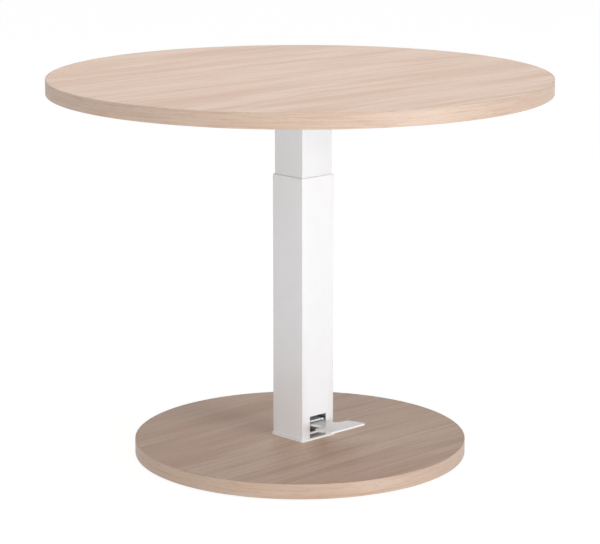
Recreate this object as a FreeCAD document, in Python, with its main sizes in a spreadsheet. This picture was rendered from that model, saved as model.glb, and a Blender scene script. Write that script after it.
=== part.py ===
"""Round pedestal table whose top is raised and lowered by a lockable gas spring and a foot pedal.

Millimetres and degrees. +Z is up, the origin is the middle of the base on the floor, and the
pedal points along -Y. The table stands at the height of the photograph.
"""
import FreeCAD, Part
import math
import os
import re

import Sketcher

# Driving dimensions, one cell of the sheet each.
SIZES = {
    # Round boards: chipboard between two laminates, with a band round the edge
    "table_height": 770,
    "top_diameter": 1000,
    "top_thickness": 30,
    "base_diameter": 670,
    "base_thickness": 30,
    "laminate_thickness": 0.8,
    "edge_band_thickness": 2,
    "edge_rounding": 1,
    # Floor glides under the base
    "glide_height": 4,
    "glide_diameter": 30,
    "glide_foot_diameter": 26,
    "glide_inset": 40,
    "glide_screw_diameter": 3.5,
    "glide_screw_length": 15,
    "glide_screw_head_diameter": 7,
    "glide_screw_head_height": 1.6,
    "glide_screw_recess": 2.2,
    # Telescopic column of two square tubes, a little off the middle of the boards
    "column_shift": 9,
    "inner_width": 81,
    "inner_wall": 2,
    "outer_wall": 1.5,
    "slide_gap": 1.5,
    "slide_clearance": 0.3,
    "corner_radius": 2,
    "rim_gap": 13,
    "column_foot_gap": 30,
    "sleeve_height": 40,
    "sleeve_setback": 3,
    "sleeve_floor": 2,
    "sleeve_plug_height": 12,
    "sleeve_plug_wall": 2,
    # Travel of the top from the height of the photograph
    "stroke_down": 150,
    "stroke_up": 150,
    # Foot of the column and what bolts it to the base
    "flange_thickness": 4,
    "flange_lip": 3,
    "bolt_diameter": 8,
    "bolt_spread": 36,
    "bolt_head_diameter": 14,
    "bolt_head_height": 4.4,
    "bolt_head_cover": 1,
    "bolt_socket_flats": 5,
    "bolt_socket_depth": 2.4,
    "bolt_overhang": 1,
    "weld_nut_flats": 13,
    "weld_nut_height": 6.5,
    "clamp_width": 150,
    "clamp_thickness": 4,
    "clamp_corner_radius": 8,
    "clamp_clearance": 1,
    # Plate between the column and the top
    "plate_width": 280,
    "plate_thickness": 5,
    "plate_corner_radius": 20,
    "plate_screw_edge": 25,
    "plate_screw_spread": 90,
    "plate_screw_diameter": 6,
    "plate_screw_spare": 2,
    "plate_screw_head_diameter": 12,
    "plate_screw_head_height": 3.4,
    "plate_screw_socket_flats": 4,
    "plate_screw_socket_depth": 2,
    "insert_diameter": 10,
    "insert_length": 15,
    # Window in the column, bridge bracket and pedal
    "window_height": 45,
    "window_clearance": 2.5,
    "bridge_sheet": 3,
    "bridge_height": 34,
    "bridge_setback": 5,
    "bridge_bend_radius": 6,
    "pivot_setback": 12,
    "pivot_height": 6,
    "pivot_pin_diameter": 5,
    "pivot_pin_chamfer": 0.6,
    "pivot_pin_overhang": 1.5,
    "pivot_clip_rim": 2.5,
    "pivot_clip_thickness": 1.2,
    "pedal_sheet": 4,
    "pedal_tilt": 5,
    "pedal_lift": 18,
    "neck_width": 40,
    "neck_reach": 40,
    "neck_tail": 8,
    "neck_fillet_radius": 10,
    "paddle_width": 94,
    "paddle_depth": 52,
    "paddle_corner_radius": 6,
    "pedal_edge_rounding": 0.6,
    "tongue_width": 18,
    "tongue_overreach": 9,
    "tongue_corner_radius": 5,
    "ear_clearance": 1,
    "ear_sheet": 4,
    "bush_wall": 1,
    "bush_rim": 1,
    "bush_flange": 1.7,
    "bush_play": 0.3,
    # Lockable gas spring, with its rod standing on the bridge
    "rod_diameter": 10,
    "rod_nut_flats": 16,
    "rod_nut_height": 6,
    "spring_foot_gap": 6,
    "cylinder_diameter": 28,
    "cylinder_wall": 1.5,
    "cylinder_lip": 1.5,
    "cylinder_lip_width": 4,
    "rod_guide_height": 18,
    "rod_seal_height": 6,
    "piston_height": 18,
    "piston_gap": 5,
    "piston_clearance": 0.3,
    "piston_groove_height": 4,
    "piston_groove_depth": 2,
    "piston_ring_clearance": 0.15,
    "end_plug_height": 14,
    "end_plug_collar": 6,
    "stud_diameter": 10,
    "stud_overhang": 1,
    "stud_nut_flats": 16,
    "stud_nut_height": 6,
    "stud_nut_room": 2,
    "release_pin_diameter": 4,
    "release_pin_clearance": 0.1,
    "release_pin_tip_radius": 1.5,
    "release_pin_top_gap": 5,
    "release_gap": 0.15,
    # Fits
    "running_clearance": 0.05,
    "hole_clearance": 0.2,
    "bolt_clearance": 0.5,
    "cut_overrun": 1,
}

# Floor glides round the base, and the angle of the first one.
GLIDE_COUNT = 6
GLIDE_START = 15

# Sizes and heights that follow from the driving dimensions.
FORMULAS = {
    "base_top": "glide_height + base_thickness",
    "top_underside": "table_height - top_thickness",
    "plate_underside": "top_underside - plate_thickness",
    "flange_top": "base_top + flange_thickness",
    "clamp_recess": "clamp_thickness + bolt_head_height + bolt_head_cover",
    "clamp_roof": "glide_height + clamp_recess",
    "outer_bore": "inner_width + 2 * slide_gap",
    "outer_width": "outer_bore + 2 * outer_wall",
    "outer_rim": "plate_underside - stroke_down - rim_gap",
    "bridge_top": "flange_top + bridge_height",
    "bridge_bore": "neck_width + 2 * bush_flange + 2 * bush_play",
    "bridge_width": "bridge_bore + 2 * bridge_sheet",
    "bridge_depth": "outer_bore - 2 * bridge_setback",
    "bolt_offset": "(bridge_width + outer_bore) / 4",
    "inner_foot": "bridge_top + column_foot_gap + stroke_down + sleeve_floor",
    "pivot_inset": "outer_width / 2 - pivot_setback",
    "pivot_axis_height": "flange_top + pivot_height",
    "pivot_hole_radius": "pivot_pin_diameter / 2 + running_clearance",
    "ear_radius": "pivot_height - ear_clearance",
    "bush_radius": "pivot_pin_diameter / 2 + bush_wall",
    "rod_bore_radius": "release_pin_diameter / 2 + release_pin_clearance",
    "rod_fit_radius": "rod_diameter / 2 + running_clearance",
    "pedal_top_lift": "pedal_lift + pedal_sheet",
    "tongue_height": "pivot_axis_height + pedal_top_lift / cos(pedal_tilt) - pivot_inset * tan(pedal_tilt)",
    "release_tip": "tongue_height + release_gap",
    "cylinder_bore": "cylinder_diameter - 2 * cylinder_wall",
    "cylinder_foot": "bridge_top + rod_nut_height + spring_foot_gap + stroke_down",
    "cylinder_top": "plate_underside - end_plug_collar",
    "seal_foot": "cylinder_foot + cylinder_lip + rod_guide_height",
    "piston_foot": "seal_foot + rod_seal_height + stroke_up + piston_gap",
    "rod_foot": "bridge_top - bridge_sheet",
    "rod_top": "piston_foot + piston_height",
    "plate_screw_far": "plate_width / 2 - plate_screw_edge",
    "plate_screw_near": "plate_screw_spread / 2",
    "plate_screw_length": "plate_thickness + insert_length - plate_screw_spare",
    "insert_hole_radius": "insert_diameter / 2 + running_clearance",
    "bolt_hole_radius": "bolt_diameter / 2 + bolt_clearance",
    "glide_hole_radius": "glide_screw_diameter / 2 + running_clearance",
    "glide_circle": "base_diameter / 2 - glide_inset",
    "nut_pocket_depth": "stud_nut_height + stud_overhang + stud_nut_room",
    "nut_pocket_radius": "stud_nut_flats / 2 / cos(30) + stud_nut_room",
}

WORD = re.compile("[a-z_]+")
UP = FreeCAD.Vector(0, 0, 1)
ALONG_X = FreeCAD.Rotation(FreeCAD.Vector(0, 1, 0), 90)
SIGNS = ("", "-")
FLATS_ALONG_X = FreeCAD.Rotation(UP, 30)
UPRIGHT_SHARE = 0.999
MATCH_SHARE = 1e-6

doc = FreeCAD.newDocument("PedestalTable")
sheet = doc.addObject("Spreadsheet::Sheet", "Sizes")
pieces = []


def fill_sheet():
    """Write the driving dimensions into the sheet, one row each."""
    for row, (alias, value) in enumerate(SIZES.items(), start=1):
        sheet.set(f"A{row}", alias)
        sheet.set(f"B{row}", str(value))
        sheet.setAlias(f"B{row}", alias)
    doc.recompute()


def expression(text):
    """Spell a formula out in cells of the sheet."""
    def spell(match):
        word = match.group()
        if word in FORMULAS:
            return f"({expression(FORMULAS[word])})"
        return f"Sizes.{word}" if word in SIZES else word
    return WORD.sub(spell, text)


def number(text):
    """Value of a formula at the present sizes."""
    return float(sheet.evalExpression(expression(text)))


def bind(piece, **texts):
    """Tie properties of a piece to formulas."""
    for name, text in texts.items():
        piece.setExpression(name, expression(text))


def place(piece, x="0", y="0", z="0"):
    """Tie the place of a piece to formulas."""
    for axis, text in zip("xyz", (x, y, z)):
        if text != "0":
            piece.setExpression(f"Placement.Base.{axis}", expression(text))


def new_body(name, x="0", y="0", z="0"):
    """An empty body for one sub-part, placed in the table."""
    body = doc.addObject("PartDesign::Body", name)
    body.Label = name
    place(body, x, y, z)
    pieces.append(body)
    return body


def plane_of(body, role):
    """One of a body's own origin planes."""
    return next(plane for plane in body.Origin.OriginFeatures if plane.Role == role)


def new_sketch(body, name, role="XY_Plane", **offsets):
    """A sketch on one of the body's planes, moved in the plane's own directions."""
    sketch = body.newObject("Sketcher::SketchObject", name)
    sketch.AttachmentSupport = (plane_of(body, role), [""])
    sketch.MapMode = "FlatFace"
    for axis, text in offsets.items():
        sketch.setExpression(f"AttachmentOffset.Base.{axis}", expression(text))
    return sketch


def hold(sketch, kind, geometry, point, text):
    """Hold a sketch point at a distance from the sketch's origin along one direction."""
    if text == "0":
        axis = -2 if kind == "DistanceX" else -1
        sketch.addConstraint(Sketcher.Constraint("PointOnObject", geometry, point, axis))
        return
    value = number(text)
    ends = (-1, 1, geometry, point) if value > 0 else (geometry, point, -1, 1)
    row = sketch.addConstraint(Sketcher.Constraint(kind, *ends, abs(value)))
    signed = text if value > 0 else f"-({text})"
    sketch.setExpression(f"Constraints[{row}]", expression(signed))


def outline(sketch, points):
    """A closed outline of straight sides through points given as formulas."""
    corners = [FreeCAD.Vector(*[0 if text == "0" else number(text) for text in point], 0) for point in points]
    sides = []
    for start, end in zip(corners, corners[1:] + corners[:1]):
        sides.append(sketch.addGeometry(Part.LineSegment(start, end)))
    for side, following in zip(sides, sides[1:] + sides[:1]):
        sketch.addConstraint(Sketcher.Constraint("Coincident", side, 2, following, 1))
    for side, (x, y) in zip(sides, points):
        hold(sketch, "DistanceX", side, 1, x)
        hold(sketch, "DistanceY", side, 1, y)


def rectangle(sketch, width, low, high):
    """A rectangle astride the sketch's upright axis."""
    half = f"({width}) / 2"
    outline(sketch, [(half, low), (half, high), (f"-{half}", high), (f"-{half}", low)])


def square(sketch, width):
    """A square round the sketch's origin."""
    rectangle(sketch, width, f"-({width}) / 2", f"({width}) / 2")


def hexagon(sketch, flats):
    """A hexagon round the sketch's origin, by its size across flats."""
    side = f"{flats} / 2"
    low = f"{flats} / 2 * tan(30)"
    high = f"{flats} / 2 / cos(30)"
    right = [("0", f"-{high}"), (side, f"-{low}"), (side, low)]
    left = [("0", high), (f"-{side}", low), (f"-{side}", f"-{low}")]
    outline(sketch, right + left)


def circle(sketch, radius, x="0", y="0"):
    """A circle whose radius and middle are formulas."""
    middle = FreeCAD.Vector(*[0 if text == "0" else number(text) for text in (x, y)], 0)
    ring = sketch.addGeometry(Part.Circle(middle, UP, number(radius)))
    row = sketch.addConstraint(Sketcher.Constraint("Radius", ring, number(radius)))
    sketch.setExpression(f"Constraints[{row}]", expression(radius))
    hold(sketch, "DistanceX", ring, 3, x)
    hold(sketch, "DistanceY", ring, 3, y)


def pad(body, sketch, length, backward=False, both_ways=False):
    """Extrude a sketch into the body."""
    feature = body.newObject("PartDesign::Pad", f"{body.Name}_pad")
    feature.Profile = sketch
    feature.Reversed = backward
    feature.SideType = "Symmetric" if both_ways else "One side"
    bind(feature, Length=length)
    doc.recompute()
    return feature


def pocket(body, sketch, depth=None, upward=True, both_ways=False):
    """Cut a sketch out of the body, right through unless a depth is given."""
    before = body.Shape.Volume
    feature = body.newObject("PartDesign::Pocket", f"{body.Name}_pocket")
    feature.Profile = sketch
    feature.Reversed = upward
    feature.SideType = "Symmetric" if both_ways else "One side"
    if depth is None:
        feature.Type = "ThroughAll"
    else:
        bind(feature, Length=depth)
    doc.recompute()
    if not body.Shape.Volume < before:
        raise ValueError(f"{feature.Name} cuts nothing")
    return feature


def revolve(body, points):
    """Turn an outline of radius and height round the body's upright axis."""
    sketch = new_sketch(body, f"{body.Name}_profile", "XZ_Plane")
    outline(sketch, points)
    feature = body.newObject("PartDesign::Revolution", f"{body.Name}_turned")
    feature.Profile = sketch
    feature.ReferenceAxis = (sketch, ["V_Axis"])
    doc.recompute()
    return feature


def dress(body, feature, kind, size, wanted):
    """Fillet or chamfer the edges of a feature that a test picks out."""
    edges = [f"Edge{index}" for index, edge in enumerate(feature.Shape.Edges, start=1) if wanted(edge)]
    if not edges:
        raise ValueError(f"{body.Name} has no such edge")
    finish = body.newObject(f"PartDesign::{kind}", f"{body.Name}_{kind.lower()}")
    finish.Base = (feature, edges)
    bind(finish, **{"Radius" if kind == "Fillet" else "Size": size})
    doc.recompute()
    return finish


def upright(edge):
    """True for an edge that runs along Z."""
    start, end = edge.Vertexes[0].Point, edge.Vertexes[-1].Point
    return edge.Length > 0 and abs(end.z - start.z) > edge.Length * UPRIGHT_SHARE


def level(edge):
    """True for an edge that lies in a horizontal plane."""
    return edge.BoundBox.ZLength < edge.Length * MATCH_SHARE


def same(value, text):
    """True where a measured value is what a formula gives."""
    wanted = number(text)
    return abs(value - wanted) < max(abs(wanted), 1) * MATCH_SHARE


def cylinder(name, radius, height, x="0", y="0", z="0", turned=None):
    """A plain cylinder, upright or turned, placed in the table."""
    solid = doc.addObject("Part::Cylinder", name)
    if turned:
        solid.Placement = FreeCAD.Placement(FreeCAD.Vector(), turned)
    bind(solid, Radius=radius, Height=height)
    place(solid, x, y, z)
    return solid


def hex_prism(name, flats, height, x, y, z):
    """An upright hexagonal prism, by its size across flats, which lie across X."""
    solid = doc.addObject("Part::Prism", name)
    solid.Polygon = 6
    solid.Placement = FreeCAD.Placement(FreeCAD.Vector(), FLATS_ALONG_X)
    bind(solid, Circumradius=f"{flats} / 2 / cos(30)", Height=height)
    place(solid, x, y, z)
    return solid


def fused(name, first, second):
    """Two solids made one."""
    joined = doc.addObject("Part::Fuse", name)
    joined.Base = first
    joined.Tool = second
    return joined


def cut(name, solid, tool):
    """A solid with another taken out of it."""
    rest = doc.addObject("Part::Cut", name)
    rest.Base = solid
    rest.Tool = tool
    return rest


def group(name, solids):
    """Identical separate solids that share one sub-part."""
    bundle = doc.addObject("Part::Compound", name)
    bundle.Label = name
    bundle.Links = solids
    pieces.append(bundle)
    return bundle


def bolt_places():
    """Middles of the four bolts in the foot of the column, from the column's axis."""
    return [(f"{left}bolt_offset", f"{front}bolt_spread / 2") for left in SIGNS for front in SIGNS]


def plate_screw_places():
    """Middles of the eight screws of the mounting plate, from the column's axis."""
    pairs = [("plate_screw_far", "plate_screw_near"), ("plate_screw_near", "plate_screw_far")]
    return [(f"{left}{x}", f"{front}{y}") for x, y in pairs for left in SIGNS for front in SIGNS]


def glide_places():
    """Middles of the floor glides, evenly round the base."""
    step = 360 / GLIDE_COUNT
    turns = [step * index + GLIDE_START for index in range(GLIDE_COUNT)]
    return [(f"glide_circle * cos({turn})", f"glide_circle * sin({turn})") for turn in turns]


def holes(body, name, radius, places, depth=None, shift="column_shift"):
    """Round holes upward from the underside of a body."""
    offsets = {} if shift is None else {"x": shift}
    sketch = new_sketch(body, name, **offsets)
    for x, y in places:
        circle(sketch, radius, x, y)
    pocket(body, sketch, depth)


def disc(name, diameter, bottom, thickness):
    """A round board inside the edge band."""
    body = new_body(name, z=bottom)
    sketch = new_sketch(body, f"{name}_outline")
    circle(sketch, f"{diameter} / 2 - edge_band_thickness")
    pad(body, sketch, thickness)
    return body


def edge_band(name, diameter, bottom, thickness):
    """A band round a board, with its outer corners eased."""
    body = new_body(name, z=bottom)
    sketch = new_sketch(body, f"{name}_outline")
    circle(sketch, f"{diameter} / 2")
    circle(sketch, f"{diameter} / 2 - edge_band_thickness")
    ring = pad(body, sketch, thickness)
    outer = f"{diameter} / 2"
    dress(body, ring, "Fillet", "edge_rounding",
          lambda edge: hasattr(edge.Curve, "Radius") and same(edge.Curve.Radius, outer))


def top_boards():
    """Chipboard top, its laminates and edge band, with room for inserts and the spring's stud."""
    core = disc("table_top_board", "top_diameter", "top_underside + laminate_thickness",
                "top_thickness - 2 * laminate_thickness")
    holes(core, "insert_holes", "insert_hole_radius", plate_screw_places(),
          "insert_length - laminate_thickness + cut_overrun")
    holes(core, "nut_pocket", "nut_pocket_radius", [("0", "0")], "nut_pocket_depth - laminate_thickness")
    disc("table_top_laminate", "top_diameter", "table_height - laminate_thickness", "laminate_thickness")
    backing = disc("table_top_backing", "top_diameter", "top_underside", "laminate_thickness")
    holes(backing, "backing_insert_holes", "insert_hole_radius", plate_screw_places())
    holes(backing, "backing_nut_hole", "nut_pocket_radius", [("0", "0")])
    edge_band("table_top_edge_band", "top_diameter", "top_underside", "top_thickness")


def base_boards():
    """Chipboard base, its laminates and edge band, recessed below for the clamp plate."""
    core = disc("base_board", "base_diameter", "glide_height + laminate_thickness",
                "base_thickness - 2 * laminate_thickness")
    recess = new_sketch(core, "clamp_recess_outline", x="column_shift")
    square(recess, "clamp_width + 2 * clamp_clearance")
    pocket(core, recess, "clamp_recess - laminate_thickness")
    holes(core, "bolt_holes", "bolt_hole_radius", bolt_places())
    holes(core, "glide_screw_holes", "glide_hole_radius", glide_places(),
          "glide_screw_length - laminate_thickness + cut_overrun", shift=None)
    laminate = disc("base_laminate", "base_diameter", "base_top - laminate_thickness", "laminate_thickness")
    holes(laminate, "laminate_bolt_holes", "bolt_hole_radius", bolt_places())
    backing = disc("base_backing", "base_diameter", "glide_height", "laminate_thickness")
    opening = new_sketch(backing, "clamp_opening", x="column_shift")
    square(opening, "clamp_width + 2 * clamp_clearance")
    pocket(backing, opening)
    holes(backing, "backing_screw_holes", "glide_hole_radius", glide_places(), shift=None)
    edge_band("base_edge_band", "base_diameter", "glide_height", "base_thickness")


def floor_glides():
    """Moulded glides under the base and the screws that hold them."""
    glides = []
    screws = []
    for index, (x, y) in enumerate(glide_places(), start=1):
        foot = doc.addObject("Part::Cone", f"glide_foot_{index}")
        bind(foot, Radius1="glide_foot_diameter / 2", Radius2="glide_diameter / 2", Height="glide_height")
        place(foot, x, y)
        recess = cylinder(f"glide_recess_{index}", "glide_screw_head_diameter / 2 + hole_clearance",
                          "glide_screw_recess + cut_overrun", x, y, "-cut_overrun")
        hole = cylinder(f"glide_hole_{index}", "glide_screw_diameter / 2 + hole_clearance",
                        "glide_height + cut_overrun", x, y)
        opening = fused(f"glide_opening_{index}", recess, hole)
        glides.append(cut(f"glide_{index}", foot, opening))
        head = cylinder(f"glide_screw_head_{index}", "glide_screw_head_diameter / 2",
                        "glide_screw_head_height", x, y, "glide_screw_recess - glide_screw_head_height")
        shank = cylinder(f"glide_screw_shank_{index}", "glide_screw_diameter / 2",
                         "glide_height - glide_screw_recess + glide_screw_length", x, y,
                         "glide_screw_recess")
        screws.append(fused(f"glide_screw_{index}", head, shank))
    group("floor_glides", glides)
    group("glide_screws", screws)


def plate(name, width, thickness, corner, bottom):
    """A square plate with round corners, on the column's axis."""
    body = new_body(name, x="column_shift", z=bottom)
    sketch = new_sketch(body, f"{name}_outline")
    square(sketch, width)
    slab = pad(body, sketch, thickness)
    dress(body, slab, "Fillet", corner, upright)
    return body


def base_clamp_plate():
    """Steel plate under the base that spreads the pull of the bolts."""
    body = plate("base_clamp_plate", "clamp_width", "clamp_thickness", "clamp_corner_radius",
                 "clamp_roof - clamp_thickness")
    holes(body, "clamp_bolt_holes", "bolt_diameter / 2 + hole_clearance", bolt_places(), shift=None)


def socket_screw(name, x, y, bottom, sizes):
    """A screw pointing up: round head with a hexagon socket below, shank above."""
    x = f"column_shift + {x}"
    head = cylinder(f"{name}_head", sizes["head_radius"], sizes["head_height"], x, y, bottom)
    shank = cylinder(f"{name}_shank", sizes["radius"], sizes["length"], x, y,
                     f"{bottom} + {sizes['head_height']}")
    socket = hex_prism(f"{name}_socket", sizes["socket_flats"], f"{sizes['socket_depth']} + cut_overrun",
                       x, y, f"{bottom} - cut_overrun")
    return cut(name, fused(f"{name}_blank", head, shank), socket)


def base_bolts():
    """Bolts up through the clamp plate, base and flange, and the nuts welded on the flange."""
    sizes = {"radius": "bolt_diameter / 2", "head_radius": "bolt_head_diameter / 2",
             "head_height": "bolt_head_height", "socket_flats": "bolt_socket_flats",
             "socket_depth": "bolt_socket_depth",
             "length": "flange_top - clamp_roof + clamp_thickness + weld_nut_height + bolt_overhang"}
    bolts = []
    nuts = []
    for index, (x, y) in enumerate(bolt_places(), start=1):
        bolts.append(socket_screw(f"bolt_{index}", x, y,
                                  "clamp_roof - clamp_thickness - bolt_head_height", sizes))
        blank = hex_prism(f"weld_nut_blank_{index}", "weld_nut_flats", "weld_nut_height",
                          f"column_shift + {x}", y, "flange_top")
        thread = cylinder(f"weld_nut_thread_{index}", "bolt_diameter / 2 + running_clearance",
                          "weld_nut_height", f"column_shift + {x}", y, "flange_top")
        nuts.append(cut(f"weld_nut_{index}", blank, thread))
    group("base_bolts", bolts)
    group("flange_weld_nuts", nuts)


def column_flange():
    """Plate welded under the outer tube, showing as a lip round its foot."""
    body = plate("column_flange", "outer_width + 2 * flange_lip", "flange_thickness",
                 "corner_radius + flange_lip", "base_top")
    holes(body, "flange_bolt_holes", "bolt_diameter / 2 + hole_clearance", bolt_places(), shift=None)


def square_tube(name, width, wall, bottom, length):
    """A square tube with round outer corners."""
    body = plate(name, width, length, "corner_radius", bottom)
    bore = new_sketch(body, f"{name}_bore")
    square(bore, f"{width} - 2 * ({wall})")
    pocket(body, bore)
    return body


def outer_column():
    """Fixed tube, with the pedal's window in its front wall."""
    body = square_tube("outer_column", "outer_width", "outer_wall", "flange_top", "outer_rim - flange_top")
    window = new_sketch(body, "pedal_window", "XZ_Plane")
    rectangle(window, "neck_width + 2 * window_clearance", "0", "window_height")
    pocket(body, window, upward=True)


def inner_column():
    """Tube that slides in the outer one and carries the top."""
    square_tube("inner_column", "inner_width", "inner_wall", "inner_foot", "plate_underside - inner_foot")


def square_ring(body, name, outside, inside, bottom, height):
    """A square ring added to a sleeve."""
    sketch = new_sketch(body, name)
    if bottom != "0":
        bind(sketch, **{"AttachmentOffset.Base.z": bottom})
    square(sketch, outside)
    square(sketch, inside)
    pad(body, sketch, height)


def guide_sleeves():
    """Plastic sleeves that guide the inner tube: one in the mouth of the outer, one on the inner's foot."""
    mouth = new_body("upper_guide_sleeve", x="column_shift", z="outer_rim - sleeve_setback - sleeve_height")
    square_ring(mouth, "mouth_ring", "outer_bore", "inner_width + 2 * slide_clearance", "0",
                "sleeve_height")
    foot = new_body("lower_guide_sleeve", x="column_shift", z="inner_foot - sleeve_floor")
    outside = "outer_bore - 2 * slide_clearance"
    tube_bore = "inner_width - 2 * inner_wall"
    opening = "inner_width - 2 * inner_wall - 2 * sleeve_plug_wall"
    square_ring(foot, "foot_floor", outside, opening, "0", "sleeve_floor")
    square_ring(foot, "foot_skirt", outside, "inner_width", "sleeve_floor", "sleeve_height")
    square_ring(foot, "foot_plug", tube_bore, opening, "sleeve_floor", "sleeve_plug_height")


def top_mounting_plate():
    """Plate welded on the inner tube and screwed up into the top."""
    body = plate("top_mounting_plate", "plate_width", "plate_thickness", "plate_corner_radius",
                 "plate_underside")
    holes(body, "plate_screw_holes", "plate_screw_diameter / 2 + hole_clearance", plate_screw_places(),
          shift=None)
    holes(body, "stud_hole", "stud_diameter / 2 + hole_clearance", [("0", "0")], shift=None)


def top_plate_screws():
    """Screws of the mounting plate and the threaded inserts that they turn into."""
    sizes = {"radius": "plate_screw_diameter / 2", "head_radius": "plate_screw_head_diameter / 2",
             "head_height": "plate_screw_head_height", "socket_flats": "plate_screw_socket_flats",
             "socket_depth": "plate_screw_socket_depth", "length": "plate_screw_length"}
    screws = []
    inserts = []
    for index, (x, y) in enumerate(plate_screw_places(), start=1):
        screws.append(socket_screw(f"plate_screw_{index}", x, y, "plate_underside - plate_screw_head_height",
                                   sizes))
        blank = cylinder(f"insert_blank_{index}", "insert_diameter / 2", "insert_length",
                         f"column_shift + {x}", y, "top_underside")
        thread = cylinder(f"insert_thread_{index}", "plate_screw_diameter / 2 + running_clearance",
                          "insert_length", f"column_shift + {x}", y, "top_underside")
        inserts.append(cut(f"insert_{index}", blank, thread))
    group("top_plate_screws", screws)
    group("table_top_inserts", inserts)


def pedal_bracket():
    """Bridge of bent sheet on the flange: the spring stands on it and the pedal hangs in it."""
    body = new_body("pedal_bracket", x="column_shift", z="flange_top")
    profile = new_sketch(body, "bridge_profile", "XZ_Plane", z="bridge_depth / 2")
    bore = "bridge_bore / 2"
    side = "bridge_width / 2"
    ceiling = "bridge_height - bridge_sheet"
    outline(profile, [(side, "0"), (side, "bridge_height"), (f"-{side}", "bridge_height"), (f"-{side}", "0"),
                      (f"-{bore}", "0"), (f"-{bore}", ceiling), (bore, ceiling), (bore, "0")])
    sheet_metal = pad(body, profile, "bridge_depth", backward=True)

    def bend(edge, half_width, height):
        """True for an edge along the depth at the given half width and height."""
        middle = edge.CenterOfMass
        placed = same(abs(middle.x), half_width) and same(middle.z, height)
        return placed and same(edge.Length, "bridge_depth")

    outside = dress(body, sheet_metal, "Fillet", "bridge_bend_radius",
                    lambda edge: bend(edge, side, "bridge_height"))
    dress(body, outside, "Fillet", "bridge_bend_radius - bridge_sheet",
          lambda edge: bend(edge, bore, ceiling))
    holes(body, "rod_hole", "rod_fit_radius", [("0", "0")], shift=None)
    pivots = new_sketch(body, "pivot_holes", "YZ_Plane")
    circle(pivots, "pivot_hole_radius", "-pivot_inset", "pivot_height")
    pocket(body, pivots, both_ways=True)


def pivot_pin():
    """Pin across the bridge that the pedal turns on."""
    body = new_body("pedal_pivot_pin", "column_shift", "-pivot_inset", "pivot_axis_height")
    sketch = new_sketch(body, "pin_outline", "YZ_Plane")
    circle(sketch, "pivot_pin_diameter / 2")
    length = "bridge_width + 2 * pivot_clip_thickness + 2 * pivot_pin_overhang"
    rod = pad(body, sketch, length, both_ways=True)
    dress(body, rod, "Chamfer", "pivot_pin_chamfer", lambda edge: hasattr(edge.Curve, "Radius"))


def pivot_clips():
    """Push-on clips that keep the pivot pin in the bridge."""
    clips = []
    for index, start in enumerate(("bridge_width / 2", "-bridge_width / 2 - pivot_clip_thickness"), start=1):
        where = (f"column_shift + {start}", "-pivot_inset", "pivot_axis_height", ALONG_X)
        blank = cylinder(f"clip_blank_{index}", "pivot_pin_diameter / 2 + pivot_clip_rim",
                         "pivot_clip_thickness", *where)
        hole = cylinder(f"clip_hole_{index}", "pivot_hole_radius", "pivot_clip_thickness", *where)
        clips.append(cut(f"clip_{index}", blank, hole))
    group("pivot_pin_clips", clips)


def foot_pedal():
    """T-shaped treadle of sheet with two ears on the pivot and a tongue under the release pin."""
    body = new_body("foot_pedal", "column_shift", "-pivot_inset", "pivot_axis_height")
    body.Placement.Rotation = FreeCAD.Rotation(FreeCAD.Vector(1, 0, 0), -number("pedal_tilt"))
    body.setExpression("Placement.Rotation.Angle", expression("-pedal_tilt"))
    treadle = new_sketch(body, "treadle_outline", z="pedal_lift")
    toe = "-(pivot_setback + neck_reach + paddle_depth)"
    shoulder = "-(pivot_setback + neck_reach)"
    tail = "pivot_inset + tongue_overreach"
    half = [("paddle_width / 2", toe), ("paddle_width / 2", shoulder), ("neck_width / 2", shoulder),
            ("neck_width / 2", "neck_tail"), ("tongue_width / 2", "neck_tail"), ("tongue_width / 2", tail)]
    outline(treadle, half + [(f"-{x}", y) for x, y in reversed(half)])
    slab = pad(body, treadle, "pedal_sheet")

    def corner(edge, x, y):
        """True for an upright edge at the given half width and depth."""
        return upright(edge) and same(abs(edge.CenterOfMass.x), x) and same(edge.CenterOfMass.y, y)

    toes = dress(body, slab, "Fillet", "paddle_corner_radius",
                 lambda edge: corner(edge, "paddle_width / 2", toe)
                 or corner(edge, "paddle_width / 2", shoulder))
    waist = dress(body, toes, "Fillet", "neck_fillet_radius",
                  lambda edge: corner(edge, "neck_width / 2", shoulder))
    tip = dress(body, waist, "Fillet", "tongue_corner_radius",
                lambda edge: corner(edge, "tongue_width / 2", tail))
    dress(body, tip, "Fillet", "pedal_edge_rounding",
          lambda edge: level(edge) and edge.CenterOfMass.y < number("-pivot_setback"))
    for side, backward in (("neck_width / 2 - ear_sheet", False), ("ear_sheet - neck_width / 2", True)):
        ear = new_sketch(body, "ear_outline", "YZ_Plane", z=side)
        ear_outline(ear)
        pad(body, ear, "ear_sheet", backward)
    bushing = new_sketch(body, "bush_holes", "YZ_Plane")
    circle(bushing, "bush_radius")
    pocket(body, bushing, both_ways=True)


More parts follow.
